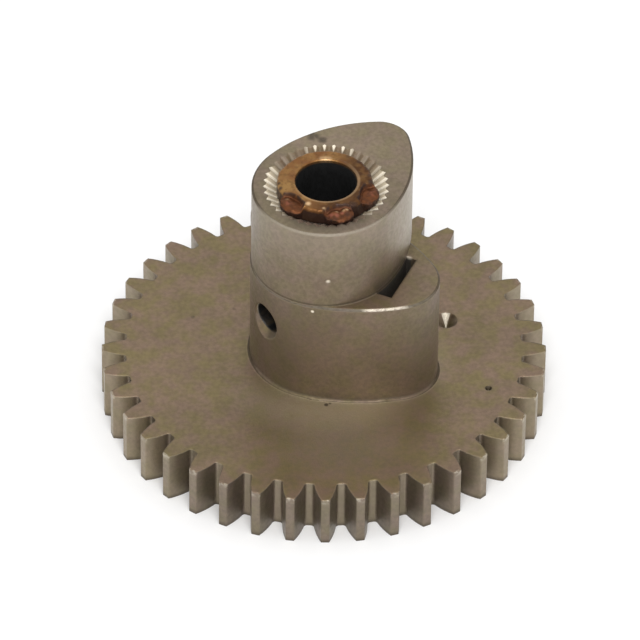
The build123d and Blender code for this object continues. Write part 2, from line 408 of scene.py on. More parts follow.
def countersinkMasks(tree, look, place, spot):
    # the serrated countersink: where it is, its lands and its grooves with painted highlights, and where it
    # is dull or smeared
    much, rim = look["much"], look["serrationRim"]
    cut = times(
        tree,
        ramp(tree, spot["Radius"], rim + 0.1 * mm, rim),
        ramp(tree, spot["Up"], 0.97, 0.9),
        ramp(tree, spot["Height"], camTop - 1.5 * mm, camTop - 1.2 * mm),
    )
    turn = addNode(tree, "ShaderNodeSeparateXYZ", {0: place})
    angle = maths(tree, "ARCTAN2", turn.outputs["Y"], turn.outputs["X"])
    angle = maths(tree, "SUBTRACT", angle, math.radians(look["serrationPhase"]))
    wave = maths(tree, "COSINE", times(tree, angle, float(look["serrations"])))
    near = greatest(tree, *(sectorShare(tree, place, *side) for side in look["shine"]))
    far = sectorShare(tree, place, *look["farShine"])
    least, more = look["narrowing"]
    inwards = times(tree, maths(tree, "SUBTRACT", rim, spot["Radius"]), 1 / mm)
    narrow = times(tree, inwards, maths(tree, "ADD", least, times(tree, far, more)))
    groove = ramp(tree, maths(tree, "SUBTRACT", wave, narrow), -0.3, 0.5)
    shine = maths(tree, "ADD", much["glint"], times(tree, greatest(tree, near, far), much["shine"]))
    smear = sectorShare(tree, place, *look["smear"])
    clean = times(tree, cut, rest(tree, smear))
    dull = sectorShare(tree, place, *look["dull"])
    plain = times(tree, rest(tree, dull), much["plainLands"])
    return {
        "cut": cut,
        "land": times(tree, clean, greatest(tree, near, plain)),
        "bright": maths(tree, "MULTIPLY", times(tree, clean, groove), shine, True),
        "dull": times(tree, cut, dull, rest(tree, near)),
        "smeared": times(tree, cut, smear),
        "front": smear,
    }


def oilHoleMasks(tree, look, place):
    # 1 inside the oil hole, short of its mouth, and 1 at its mouth
    side, radius = math.radians(look["oilHoleSide"]), look["oilHoleRadius"]
    out = Vector((math.cos(side), math.sin(side), 0))
    start = Vector((0, 0, look["oilHoleHeight"]))
    offset = vectorMaths(tree, "SUBTRACT", place, start)
    along = vectorMaths(tree, "DOT_PRODUCT", offset, out, "Value")
    across = vectorMaths(tree, "CROSS_PRODUCT", offset, out)
    gap = vectorMaths(tree, "LENGTH", across, result="Value")
    hole = ramp(tree, gap, radius + 0.1 * mm, radius + 0.02 * mm)
    hole = times(tree, hole, ramp(tree, along, 0.0, 2.0 * mm))
    inside = ramp(tree, along, *look["oilHoleMouth"])
    return times(tree, hole, inside), times(tree, hole, rest(tree, inside))


def timingMarkMasks(tree, look, place, height):
    # inside the conical mark: its back wall, which gets a painted highlight, and the rest of it, which gets
    # painted shade
    reach, heading, radius = look["timingMark"]
    turn = math.radians(heading)
    start = Vector((reach * math.cos(turn), reach * math.sin(turn), 0))
    offset = vectorMaths(tree, "SUBTRACT", place, start)
    level = vectorMaths(tree, "MULTIPLY", offset, (1.0, 1.0, 0.0))
    gap = vectorMaths(tree, "LENGTH", level, result="Value")
    inside = ramp(tree, gap, radius, radius - 0.04 * mm)
    inside = times(tree, inside, ramp(tree, height, gearFace - 0.01 * mm, gearFace - 0.06 * mm))
    back = sectorShare(tree, offset, *look["markShine"])
    return times(tree, inside, back), times(tree, inside, rest(tree, back))


def pocketMask(tree, look, place, spot):
    # painted shade on the walls of the pocket sunk into the lower cam's top
    reach = look["pocketReach"]
    return times(
        tree,
        sectorShare(tree, place, *look["pocketSide"]),
        spot["Wall"],
        ramp(tree, spot["Radius"], reach + 0.1 * mm, reach),
        ramp(tree, spot["Height"], camStep - 0.1 * mm, camStep - 0.4 * mm),
    )


def toothTones(tree, look, colour, place, spot, cloudy, teeth):
    # in front the teeth are greyer with painted shade on the flanks and painted light on the roots, at the
    # sides their flanks get painted light and only the roots painted shade, and the tips are rubbed and lit
    # pale
    radius, root, tip = spot["Radius"], look["rootRadius"], look["tipRadius"]
    tipEdge = tip - look["tipSoftness"]
    wall = times(tree, teeth, spot["Wall"])
    atRoot = times(tree, ramp(tree, radius, root + 0.12 * mm, root), wall)
    sides = greatest(tree, *(sectorShare(tree, place, *side) for side in look["toothSides"]))
    front = times(tree, wall, rest(tree, sides))
    shaded = times(
        tree, front, ramp(tree, radius, root + 0.1 * mm, root + 0.5 * mm), ramp(tree, radius, tip, tipEdge)
    )
    pale = times(tree, wall, sides, ramp(tree, radius, root + 0.3 * mm, root + 1.2 * mm))
    rubbedAndLit = times(
        tree,
        ramp(tree, radius, tipEdge, tip),
        ramp(tree, cloudy["Spot"], 0.2, 0.9),
        ramp(tree, spot["Height"], gearFace - 1.2 * mm, gearFace - 0.2 * mm),
    )
    return layTones(
        tree,
        look,
        colour,
        ("greyTone", front, "greyTeeth"),
        ("darkTone", shaded, "shadedTeeth"),
        ("flankTone", pale, "paleFlanks"),
        ("flankTone", times(tree, atRoot, front), "paleRoots"),
        ("darkTone", times(tree, atRoot, sides), "darkRoots"),
        ("paleTone", rubbedAndLit, "paleTips"),
    )


def faceTones(tree, look, colour, place, spot):
    # painted shade at the bottom of the walls where they meet the floor and low on the lower cam's wall in
    # front, and a painted sheen on the gear's face before it
    height, wall = spot["Height"], spot["Wall"]
    low = times(
        tree,
        sectorShare(tree, place, *look["darkLowFront"]),
        wall,
        ramp(tree, height, gearFace + 11.0 * mm, gearFace + 2.0 * mm),
        ramp(tree, height, gearFace, gearFace + 0.5 * mm),
    )
    sheen = times(tree, nearPoint(tree, place, *look["frontSheen"]), spot["Level"])
    foot = times(
        tree,
        sectorShare(tree, place, *look["footSheen"]),
        spot["Level"],
        ramp(tree, height, gearFace + 0.3 * mm, gearFace + 0.1 * mm),
        ramp(tree, spot["Radius"], 21.0 * mm, 13.0 * mm),
    )
    return layTones(
        tree,
        look,
        colour,
        ("darkTone", times(tree, wall, ramp(tree, height, 0.9 * mm, 0.1 * mm)), "darkBottom"),
        ("darkTone", low, "darkLowFront"),
        ("greyTone", sheen, "greySheen"),
        ("paleTone", sheen, "paleSheen"),
        ("flankTone", foot, "footSheen"),
    )


def countersinkTones(tree, look, colour, spot, sunk):
    # a ring of painted shade on the cam's top before the bush, and then the countersink itself: lands painted
    # pale, most where it catches the light, painted highlights in its grooves, and dull and smeared parts
    ring = times(
        tree,
        ramp(tree, spot["Radius"], 11.3 * mm, 8.6 * mm),
        sunk["front"],
        ramp(tree, spot["Height"], camTop - 0.2 * mm, camTop - 0.05 * mm),
    )
    return layTones(
        tree,
        look,
        colour,
        ("darkTone", ring, "ring"),
        ("landTone", sunk["land"], "lands"),
        ("dullTone", sunk["dull"], "dull"),
        ("cutTone", sunk["bright"], None),
        ("smearTone", sunk["smeared"], "smears"),
    )


def markTones(tree, look, colour, place, spot, cloudy):
    # painted shade inside the oil hole and painted light on its mouth, the two marks on the gear's face with
    # a painted highlight and painted shade in the timing mark, stains and pits, and painted glints on specks
    hole, mouth = oilHoleMasks(tree, look, place)
    markBack, markSide = timingMarkMasks(tree, look, place, spot["Height"])
    away, heading, size = look["punchMark"]
    turn = math.radians(heading)
    punch = (away * math.cos(turn), away * math.sin(turn), gearFace)
    colour = layTones(
        tree,
        look,
        colour,
        ("hollowTone", hole, None),
        ("paleTone", mouth, "holeMouth"),
        ("paleTone", markBack, "markBack"),
        ("darkTone", markSide, "markSide"),
        ("darkTone", nearPoint(tree, place, punch, size, 0.1 * mm), "punchMark"),
    )
    stained = ramp(tree, cloudy["Spot"], -0.6, 0.6)
    for (x, y, z), reach, softness, strength in look["stains"]:
        near = nearPoint(tree, place, (x * mm, y * mm, z * mm), reach * mm, softness * mm)
        colour = layTones(tree, look, colour, ("darkTone", times(tree, near, stained, strength), None))
    specks = times(tree, markBack, look["much"]["markGlint"])
    for (x, y, z), reach, softness, strength in look["bright"]:
        near = nearPoint(tree, place, (x * mm, y * mm, z * mm), reach * mm, softness * mm)
        near = times(tree, near, strength)
        colour = layTones(tree, look, colour, ("cutTone", near, None))
        specks = greatest(tree, specks, near)
    return colour, hole, specks


def edgeMasks(tree, look, spot, normal, cut):
    # the part's edges and corners, told by the slope of the face and by its height
    much, height, up, wall = look["much"], spot["Height"], spot["Up"], spot["Wall"]
    (begins, whole), reach = look["footHeight"], look["camReach"]
    facing = ramp(tree, normal.outputs["Y"], -0.2, -0.6)
    # chamfers, and the fillet at the lower cam's foot, which has dirt and painted shade all round and least
    # in front
    tilted = times(tree, ramp(tree, up, 0.15, 0.35), ramp(tree, up, 0.985, 0.93), rest(tree, cut))
    foot = times(
        tree,
        tilted,
        ramp(tree, height, gearFace + begins, gearFace + whole),
        ramp(tree, height, gearFace, gearFace + 0.02 * mm),
        maths(tree, "SUBTRACT", much["footDirtAndShade"], times(tree, facing, much["frontLessDirtAndShade"])),
    )
    # dirt and painted shade in the corner where the upper cam stands on the lower one
    corner = times(
        tree,
        wall,
        ramp(tree, height, camStep + 0.5 * mm, camStep + 0.2 * mm),
        ramp(tree, height, camStep, camStep + 0.02 * mm),
        ramp(tree, spot["Radius"], reach + 0.1 * mm, reach - 0.1 * mm),
        much["cornerDirtAndShade"],
    )
    atStep = times(
        tree,
        ramp(tree, height, camStep - 1.0 * mm, camStep - 0.6 * mm),
        ramp(tree, height, camStep + 0.02 * mm, camStep),
    )
    atRim = ramp(tree, height, camTop - 0.6 * mm, camTop - 0.5 * mm)
    either = greatest(tree, atStep, times(tree, atRim, much["rimChamfer"]))
    chamfer = times(tree, tilted, facing, either)
    return {
        "facing": facing,
        "far": ramp(tree, normal.outputs["Y"], -0.3, 0.1),
        "tilted": tilted,
        "dirtyAndShaded": greatest(tree, foot, corner),
        "aside": times(
            tree, tilted, rest(tree, facing), ramp(tree, height, gearFace + 5.0 * mm, gearFace + 6.0 * mm)
        ),
        "chamfer": chamfer,
        "step": times(tree, chamfer, atStep),
        "rim": times(tree, tilted, facing, atRim),
    }


def edgeTones(tree, look, colour, place, spot, cloudy, worn, edges, normal):
    # painted light on the upper cam's right side and front, painted shade on broken chamfers, on chamfers
    # that face away, at the foot and corner and on the step edge outside its painted highlight, edges rubbed
    # and lit pale, and darker edges at the far side
    much, height, wall = look["much"], spot["Height"], spot["Wall"]
    facing, chamfer, step = edges["facing"], edges["chamfer"], edges["step"]
    right = ramp(tree, normal.outputs["X"], 0.78, 1.0)
    right = times(tree, right, wall, ramp(tree, height, camStep + 1.0 * mm, camStep + 6.0 * mm))
    upperFront = times(tree, facing, wall, ramp(tree, height, camTop - 9.0 * mm, camTop - 0.5 * mm))
    broken = ramp(tree, cloudy["Spot"], -0.1, 0.9)
    gaps = greatest(
        tree,
        times(tree, edges["tilted"], much["brokenEdges"], rest(tree, broken)),
        times(tree, edges["aside"], much["sideEdges"]),
        edges["dirtyAndShaded"],
    )
    glintSide = sectorShare(tree, place, *look["brightEdge"])
    dimmed = times(tree, step, rest(tree, glintSide))
    stepGlint = times(tree, step, glintSide, ramp(tree, broken, -0.3, 0.9), much["stepGlintShare"])
    rubbedAndLit = greatest(
        tree,
        times(tree, worn["Mask"], much["rubbedEdges"], broken, rest(tree, edges["far"])),
        times(tree, chamfer, broken, much["rubbedChamfer"]),
    )
    colour = layTones(
        tree,
        look,
        colour,
        ("paleTone", right, "rightSide"),
        ("paleTone", upperFront, "upperFront"),
        ("darkTone", gaps, None),
        ("greyTone", chamfer, "greyChamfer"),
        ("paleTone", edges["rim"], "paleRim"),
        ("darkTone", dimmed, "dimmedStep"),
        ("paleTone", rubbedAndLit, None),
        ("cutTone", stepGlint, None),
        ("darkTone", times(tree, worn["Mask"], edges["far"]), "darkFarEdges"),
    )
    return colour, dimmed, stepGlint


def makeSteel(look):
    # the gear's steel: its skin, then what is darker or paler at each place, much of it painted light and
    # shade, and how rough and bare it is
    much = look["much"]
    material, tree, shader, place, normal = newMaterial("sinteredSteel")
    spot = placeEffect(tree, places, {"Place": place, "Normal": normal})
    cloudy = placeEffect(tree, mottle, {"Place": place})
    worn = placeEffect(tree, edgeWear, {"Place": place, "Radius": look["edgeRadius"], "Broken": 0.8})
    shadeAndGrime = placeEffect(tree, grimeAndShade, {"Place": place})
    rounded = addNode(tree, "ShaderNodeSeparateXYZ", {0: worn["Normal"]})
    sunk = countersinkMasks(tree, look, place, spot)
    edges = edgeMasks(tree, look, spot, rounded, sunk["cut"])

    # dirt and painted shade are weaker in the tooth gaps than in the cams' corners, and none is in the
    # countersink
    teeth = ramp(tree, spot["Radius"], *look["toothZone"])
    clean = rest(tree, teeth, much["teethLessGrimeAndShade"])
    dirtAndShade = times(tree, shadeAndGrime["Mask"], clean, rest(tree, sunk["cut"]))
    colour = patina(tree, look, place, spot, cloudy, dirtAndShade)
    colour = layTones(tree, look, colour, ("pocketTone", pocketMask(tree, look, place, spot), "pocket"))
    colour = toothTones(tree, look, colour, place, spot, cloudy, teeth)
    colour = faceTones(tree, look, colour, place, spot)
    colour = countersinkTones(tree, look, colour, spot, sunk)
    colour, hole, specks = markTones(tree, look, colour, place, spot, cloudy)
    colour, dimmed, stepGlint = edgeTones(tree, look, colour, place, spot, cloudy, worn, edges, rounded)

    # edges with dirt and painted shade and dimmed edges are darker and shine less, the countersink and
    # painted highlights are matt, and smears are rougher
    dullEdge = greatest(
        tree,
        times(tree, edges["aside"], much["dullSides"]),
        edges["dirtyAndShaded"],
        times(tree, dirtAndShade, much["dullDirtAndShade"]),
        times(tree, dimmed, much["dullStep"]),
        edges["rim"],
    )
    colour = blendTones(tree, times(tree, dullEdge, dullEdge), colour, look["edgeLoss"], "SUBTRACT")
    tree.links.new(colour, shader.inputs["Base Color"])
    lit = greatest(tree, sunk["bright"], specks, stepGlint, sunk["cut"])
    outside = times(tree, rest(tree, hole), rest(tree, dullEdge, much["lostMetal"]))
    metal = times(tree, rest(tree, lit, much["mattCuts"]), look["metallic"], outside)
    tree.links.new(metal, shader.inputs["Metallic"])
    smeared = greatest(tree, sunk["smeared"], sunk["dull"])
    rough = maths(tree, "ADD", look["roughness"], times(tree, cloudy["Spot"], much["rougherSpots"]))
    rough = maths(tree, "ADD", rough, times(tree, smeared, much["rougher"]))
    rough = maths(tree, "ADD", rough, times(tree, dullEdge, much["rougher"]))
    tree.links.new(rough, shader.inputs["Roughness"])
    tree.links.new(times(tree, outside, look["coat"]), shader.inputs["Coat Weight"])
    shader.inputs["Coat Roughness"].default_value = look["coatRoughness"]
    bump = addNode(
        tree,
        "ShaderNodeBump",
        {"Strength": 0.35, "Distance": 0.02 * mm, "Height": cloudy["Grain"], "Normal": worn["Normal"]},
    )
    tree.links.new(bump.outputs[0], shader.inputs["Normal"])
    return material


steel = makeSteel(steelLook)
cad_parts["cam_gear"].data.materials.clear()
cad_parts["cam_gear"].data.materials.append(steel)
print("steel made")

bushLook = {
    "boreRadius": 4.55,  # all in millimetres and degrees
    "wallRadius": 7.2,
    "boreRounding": 0.3,
    "rimRadius": 6.85,
    "rimRounding": 0.5,
    "bulge": (0.4, 178.0, 30.0),  # how far the rim swells, in which direction and over what half angle
    "coneRadius": 8.8,  # the countersink's rim and depth
    "coneDepth": 1.1,
    "rimAbove": 1.1,  # how far the rim stands above the cam's top
    "rimSink": 0.03,  # how far its middle lies below its highest point
    "wobble": 0.09,
    "lumps": 0.05,
    "rimLumps": 0.4,  # times the lumps
    "padLumps": 1.8,  # times the lumps
    "padCrown": (0.08, 0.26),  # rise of a stake's middle, and its fall to the edge
    "padEdge": (1.16, 0.86),  # where a stake ends and is whole, in its own half sizes
    "columns": 480,
    "stakes": (
        {"angle": -136.5, "reach": 6.92, "along": 2.1, "across": 1.38, "drop": 0.62},
        {"angle": -73.5, "reach": 7.2, "along": 2.1, "across": 1.45, "drop": 0.6},
        {"angle": -20.5, "reach": 6.85, "along": 2.2, "across": 1.32, "drop": 0.66},
    ),
    "ridges": (  # small heaps and pits on the stakes: angle, reach, height, size
        (-79.0, 6.75, 0.22, 0.55),
        (-64.0, 6.7, 0.26, 0.5),
        (-71.0, 7.3, -0.12, 0.45),
        (-130.0, 7.0, 0.14, 0.5),
        (-144.0, 7.2, 0.1, 0.6),
        (-14.0, 7.1, 0.12, 0.6),
    ),
    "oilHole": (-143.1, 20.2, 1.5),  # direction, height and radius
    "lipSide": -52.0,  # where the bore's lip gets a painted highlight
    "darkSpots": (  # angle, reach, size and strength; painted shade and soil under the rim's edge and in the gaps by the stakes
        (-174.0, 7.0, 0.3, 0.9),
        (-165.0, 6.95, 0.35, 0.9),
        (-52.5, 6.9, 0.7, 0.9),
        (-52.0, 7.7, 0.7, 0.9),
        (-53.0, 6.2, 0.4, 0.5),
        (-1.0, 6.6, 0.45, 0.9),
        (11.0, 6.5, 0.4, 0.7),
        (41.5, 6.4, 0.4, 0.6),
        (59.5, 6.3, 0.35, 0.5),
        (25.0, 6.5, 0.4, 0.4),
        (-65.0, 7.6, 0.5, 0.7),
        (-79.5, 8.0, 0.4, 0.6),
        (-90.0, 7.7, 0.4, 0.8),
        (-12.0, 8.0, 0.5, 0.8),
        (-33.0, 8.0, 0.6, 0.8),
        (-121.0, 6.6, 0.3, 0.6),
    ),
    # painted glints, listed as the dark spots
    "brightSpots": (
        (-116.2, 5.85, 0.4, 0.9),
        (-92.7, 6.2, 0.25, 0.55),
        (-62.3, 6.75, 0.26, 0.8),
        (-67.0, 6.7, 0.25, 0.4),
        (-76.0, 6.7, 0.25, 0.4),
        (-146.4, 6.8, 0.3, 0.25),
        (97.0, 4.92, 0.5, 0.4),
        (91.5, 4.92, 0.5, 0.5),
        (86.0, 4.92, 0.5, 0.4),
    ),
    # painted pink highlights on the stakes, listed as the dark spots
    "pinkSpots": (
        (-84.0, 7.3, 0.45, 0.4),
        (-77.0, 7.4, 0.4, 0.35),
        (-70.0, 7.0, 0.3, 0.35),
        (-140.0, 7.2, 0.5, 0.25),
        (-18.0, 7.0, 0.6, 0.25),
    ),
}


def smoothShare(value, low, high):
    # 0 below low, 1 above high and smooth between; low may be the greater
    share = np.clip((value - low) / (high - low), 0, 1)
    return share * share * (3 - 2 * share)


def smoothGreater(first, second, softness):
    # the greater of two values, rounded where they cross
    return (first + second + np.sqrt((first - second) ** 2 + softness**2)) / 2


def waves(x, y, seed, count=14, longest=3.0, shortest=0.5):
    # a sum of plane waves with seeded directions, lengths and phases, about -1 to 1
    draw = np.random.default_rng(seed)
    length = np.geomspace(longest, shortest, count)
    heading = draw.uniform(0, 2 * np.pi, count)
    phase = draw.uniform(0, 2 * np.pi, count)
    kx, ky = 2 * np.pi * np.cos(heading) / length, 2 * np.pi * np.sin(heading) / length
    weight = (length / longest) ** 0.8
    total = np.sin(x[..., None] * kx + y[..., None] * ky + phase) * weight
    return total.sum(-1) / np.sqrt((weight**2).sum() / 2) / 2


def stakeDepth(look, angle, radius):
    # distance from each stake's centre in its own half sizes, uneven: 0 at the centre and 1 at its edge
    x, y = radius * np.cos(angle), radius * np.sin(angle)
    gaps = []
    for stake in look["stakes"]:
        turn = angle - np.radians(stake["angle"])
        aside = radius * np.sin(turn) / stake["along"]
        out = (radius * np.cos(turn) - stake["reach"]) / stake["across"]
        uneven = 1 + 0.1 * waves(x, y, 31, longest=2.8, shortest=1.0)
        gaps.append(np.sqrt(aside**2 + out**2) * uneven)
    return np.stack(gaps)


def rimReach(look, angle):
    # how far the bronze reaches at an angle: the rim, its swelling, and the stakes' round ends
    size, heading, half = look["bulge"]
    turn = np.angle(np.exp(1j * (angle - np.radians(heading))))
    reach = look["rimRadius"] + size * np.exp(-((turn / np.radians(half)) ** 2))
    reach = reach + look["wobble"] * waves(7 * np.cos(angle), 7 * np.sin(angle), 3)
    for stake in look["stakes"]:
        aside = stake["reach"] * np.sin(angle - np.radians(stake["angle"])) / stake["along"]
        facing = np.cos(angle - np.radians(stake["angle"])) > 0
        bow = np.sqrt(np.clip(1 - aside**2, 0, 1)) * facing
        lobe = np.where(facing & (abs(aside) < 1), stake["reach"] + stake["across"] * bow, 0)
        reach = smoothGreater(reach, lobe, 0.12)
    return reach


def topLevel(look, angle, radius, reach, top):
    # height of the bronze: a lumpy rim with a rounded outer edge, sunk and heaped where it is staked
    x, y = radius * np.cos(angle), radius * np.sin(angle)
    rise, fall = look["padCrown"]
    level = top - look["rimSink"] + look["lumps"] * look["rimLumps"] * waves(x, y, 5)
    rough = look["lumps"] * look["padLumps"] * waves(x, y, 11, longest=2.4, shortest=0.8)
    for gap, stake in zip(stakeDepth(look, angle, radius), look["stakes"]):
        pad = top - stake["drop"] + rise - fall * gap**2 + rough
        level = level + (pad - level) * smoothShare(gap, *look["padEdge"])
    for heading, away, height, size in look["ridges"]:
        turn = math.radians(heading)
        gap = np.hypot(x - away * math.cos(turn), y - away * math.sin(turn)) / size
        level = level + height * np.exp(-(gap**2))
    outwards = np.clip((radius - (reach - look["rimRounding"])) / look["rimRounding"], 0, 1)
    rounded = look["rimRounding"] * (1 - np.sqrt(1 - 0.98 * outwards**2))
    return np.minimum(level - rounded, top)


def coneLevel(look, radius, top):
    # height of the countersink's cone under the bronze
    outer, inner = look["coneRadius"], look["wallRadius"]
    return top - look["rimAbove"] - (outer - radius) * look["coneDepth"] / (outer - inner)


def bushRows(look, top, bottom):
    # the closed profile at every angle: up the bore, over the rim, down to the cone, and down the outside
    angle = np.linspace(0, 2 * np.pi, look["columns"], endpoint=False)
    bore, wall, curl = look["boreRadius"], look["wallRadius"], look["boreRounding"]
    reach = rimReach(look, angle)
    foot = np.maximum(reach, wall + 0.05)
    footLevel, seatLevel = coneLevel(look, foot, top), coneLevel(look, wall, top)
    rows, whole = [], np.ones_like(angle)
    for share in np.linspace(0, 1, 10):
        rows.append((bore * whole, (bottom + (top - curl - bottom) * share**0.5) * whole))
    for turn in np.linspace(0, np.pi / 2, 7)[1:]:
        rows.append(((bore + curl * (1 - np.cos(turn))) * whole, (top - curl * (1 - np.sin(turn))) * whole))
    for share in np.linspace(0, 1, 72)[1:]:
        radius = bore + curl + (reach - bore - curl) * share
        level = topLevel(look, angle, radius, reach, top)
        rows.append((radius, top + (level - top) * min(1, share * 8)))
    edge = rows[-1][1]
    for share in np.linspace(0, 1, 9)[1:]:
        rows.append((reach + (foot - reach) * share, edge + (footLevel - edge) * share))
    for share in np.linspace(0, 1, 7)[1:]:
        radius = foot + (wall - foot) * share
        rows.append((radius, coneLevel(look, radius, top)))
    for share in np.linspace(0, 1, 9)[1:]:
        rows.append((wall * whole, seatLevel + (bottom - seatLevel) * share * whole))
    for share in np.linspace(0, 1, 5)[1:-1]:
        rows.append(((wall + (bore - wall) * share) * whole, bottom * whole))
    radii = np.stack([row[0] for row in rows])
    levels = np.stack([row[1] for row in rows])
    return angle, radii, levels


def closedMesh(name, points):
    # quads between neighbouring rows and columns of a grid that closes on itself both ways
    count, across = points.shape[:2]
    index = np.arange(count * across).reshape(count, across)
    after, aside = np.roll(index, -1, 0), np.roll(index, -1, 1)
    faces = np.stack([index, aside, np.roll(after, -1, 1), after], -1).reshape(-1, 4)
    mesh = bpy.data.meshes.new(name)
    mesh.vertices.add(count * across)
    mesh.vertices.foreach_set("co", points.astype(np.float32).ravel())
    mesh.loops.add(faces.size)
    mesh.loops.foreach_set("vertex_index", faces.astype(np.int32).ravel())
    mesh.polygons.add(len(faces))
    mesh.polygons.foreach_set("loop_start", np.arange(0, faces.size, 4, dtype=np.int32))
    mesh.polygons.foreach_set("use_smooth", np.ones(len(faces), bool))
    mesh.update(calc_edges=True)
    mesh.validate()
    return mesh


def addPiece(name, mesh):
    piece = bpy.data.objects.new(name, mesh)
    bpy.context.scene.collection.objects.link(piece)
    return piece


def drillHole(piece, heading, height, radius, start, end):
    # cuts a round hole straight out from the axis through one wall, and keeps the result as the mesh
    turn = math.radians(heading)
    ring = np.linspace(0, 2 * np.pi, 48, endpoint=False)
    aside, rise = radius * np.cos(ring), height + radius * np.sin(ring)
    across, along = math.cos(turn), math.sin(turn)
    ends = [
        np.stack([away * across - aside * along, away * along + aside * across, rise], -1)
        for away in (start, end)
    ]
    mesh = bpy.data.meshes.new("drill")
    count = len(ring)
    sides = [(i, (i + 1) % count, count + (i + 1) % count, count + i) for i in range(count)]
    caps = [tuple(range(count - 1, -1, -1)), tuple(range(count, 2 * count))]
    mesh.from_pydata((np.concatenate(ends) * mm).tolist(), [], sides + caps)
    drill = addPiece("drill", mesh)
    cut = piece.modifiers.new("hole", "BOOLEAN")
    cut.operation, cut.solver, cut.object = "DIFFERENCE", "EXACT", drill
    bpy.context.view_layer.update()
    done = bpy.data.meshes.new_from_object(piece.evaluated_get(bpy.context.evaluated_depsgraph_get()))
    piece.modifiers.clear()
    piece.data = done
    bpy.data.objects.remove(drill)


def sumOfSpots(x, y, spots):
    # the greatest of some soft round spots, each an angle, a reach from the axis, a size and a strength
    total = np.zeros_like(x)
    for heading, away, size, strength in spots:
        turn = math.radians(heading)
        gap = np.hypot(x - away * math.cos(turn), y - away * math.sin(turn)) / size
        total = np.maximum(total, strength * np.exp(-((gap / 0.95) ** 3)))
    return total


def bushMarks(look, angles, radii, levels, top):
    # how staked, how soiled and in painted shade, how rubbed and lit by painted highlights, and how pink each
    # point is, 0 to 1
    x, y = radii * np.cos(angles), radii * np.sin(angles)
    gap = stakeDepth(look, angles, radii).min(0)
    above = smoothShare(levels, top - 3.0, top - 2.6)
    staked = smoothShare(gap, 1.15, 0.95) * above
    # painted shade and soil in the grooves round the stakes and on the rim's side walls
    groove = np.exp(-(((gap - 1.08) / 0.12) ** 2)) * smoothShare(waves(x, y, 41, longest=2.0), -0.9, 0.1)
    wall = smoothShare(levels, top - 0.42, top - 0.62) * (1 - staked)
    wall = np.maximum(wall, smoothShare(levels, top - 0.9, top - 1.05)) * smoothShare(radii, 5.0, 5.3)
    soiledAndShaded = np.maximum(np.maximum(groove, wall), sumOfSpots(x, y, look["darkSpots"]))
    soiledAndShaded = soiledAndShaded * above
    turn = np.angle(np.exp(1j * (angles - np.radians(look["lipSide"]))))
    lip = smoothShare(radii, 5.15, 4.9) * smoothShare(np.abs(turn), 2.1, 1.0) * 0.25
    rubbedAndLit = np.maximum(lip, sumOfSpots(x, y, look["brightSpots"])) * above
    pink = sumOfSpots(x, y, look["pinkSpots"]) * above
    return {"staked": staked, "soiledAndShaded": np.clip(soiledAndShaded, 0, 1), "rubbedAndLit": rubbedAndLit, "pink": pink}


def makeBush(look):
    # the profile carried round the axis, with its marks as attributes, and the oil hole cut through
    top, bottom = rimTop / mm, cadBushBottom / mm
    angle, radii, levels = bushRows(look, top, bottom)
    points = np.stack([radii * np.cos(angle), radii * np.sin(angle), levels], -1) * mm
    mesh = closedMesh("stakedBush", points)
    marks = bushMarks(look, np.broadcast_to(angle, radii.shape), radii, levels, top)
    for label, values in marks.items():
        layer = mesh.attributes.new(label, "FLOAT", "POINT")
        layer.data.foreach_set("value", values.astype(np.float32).ravel())
    bush = addPiece("stakedBush", mesh)
    heading, height, radius = look["oilHole"]
    drillHole(bush, heading, height, radius, look["boreRadius"] - 2, look["wallRadius"] + 2)
    return bush


bush = makeBush(bushLook)
print("bush made,", len(bush.data.polygons), "faces")

bronzeLook = {
    "goldTone": tone(154, 118, 70),
    "copperTone": tone(126, 84, 48),
    "brownTone": tone(82, 53, 28),
    "redTone": tone(108, 66, 40),
    "pinkTone": tone(180, 112, 98),
    "rubbedAndLitTone": tone(226, 190, 146),
    "soilAndShadeTone": tone(46, 29, 24),
    "boreTone": tone(20, 20, 20),
    "metallic": 0.88,
    "dulled": 0.3,  # loss of metal where it is soiled and in painted shade
    "roughness": 0.34,
    "brownSide": (-22.0, 55.0, 105.0),  # where the rim is browned: angle and half angles
    "much": {"speckled": 0.35, "charred": 0.36, "soiledAndShaded": 0.9},
    "boreEdge": (0.2 * mm, 0.05 * mm),  # how far outside the bore's wall its painted shade begins, and is whole
    "boreDepth": (0.15 * mm, 0.7 * mm),  # and how far below the rim
}


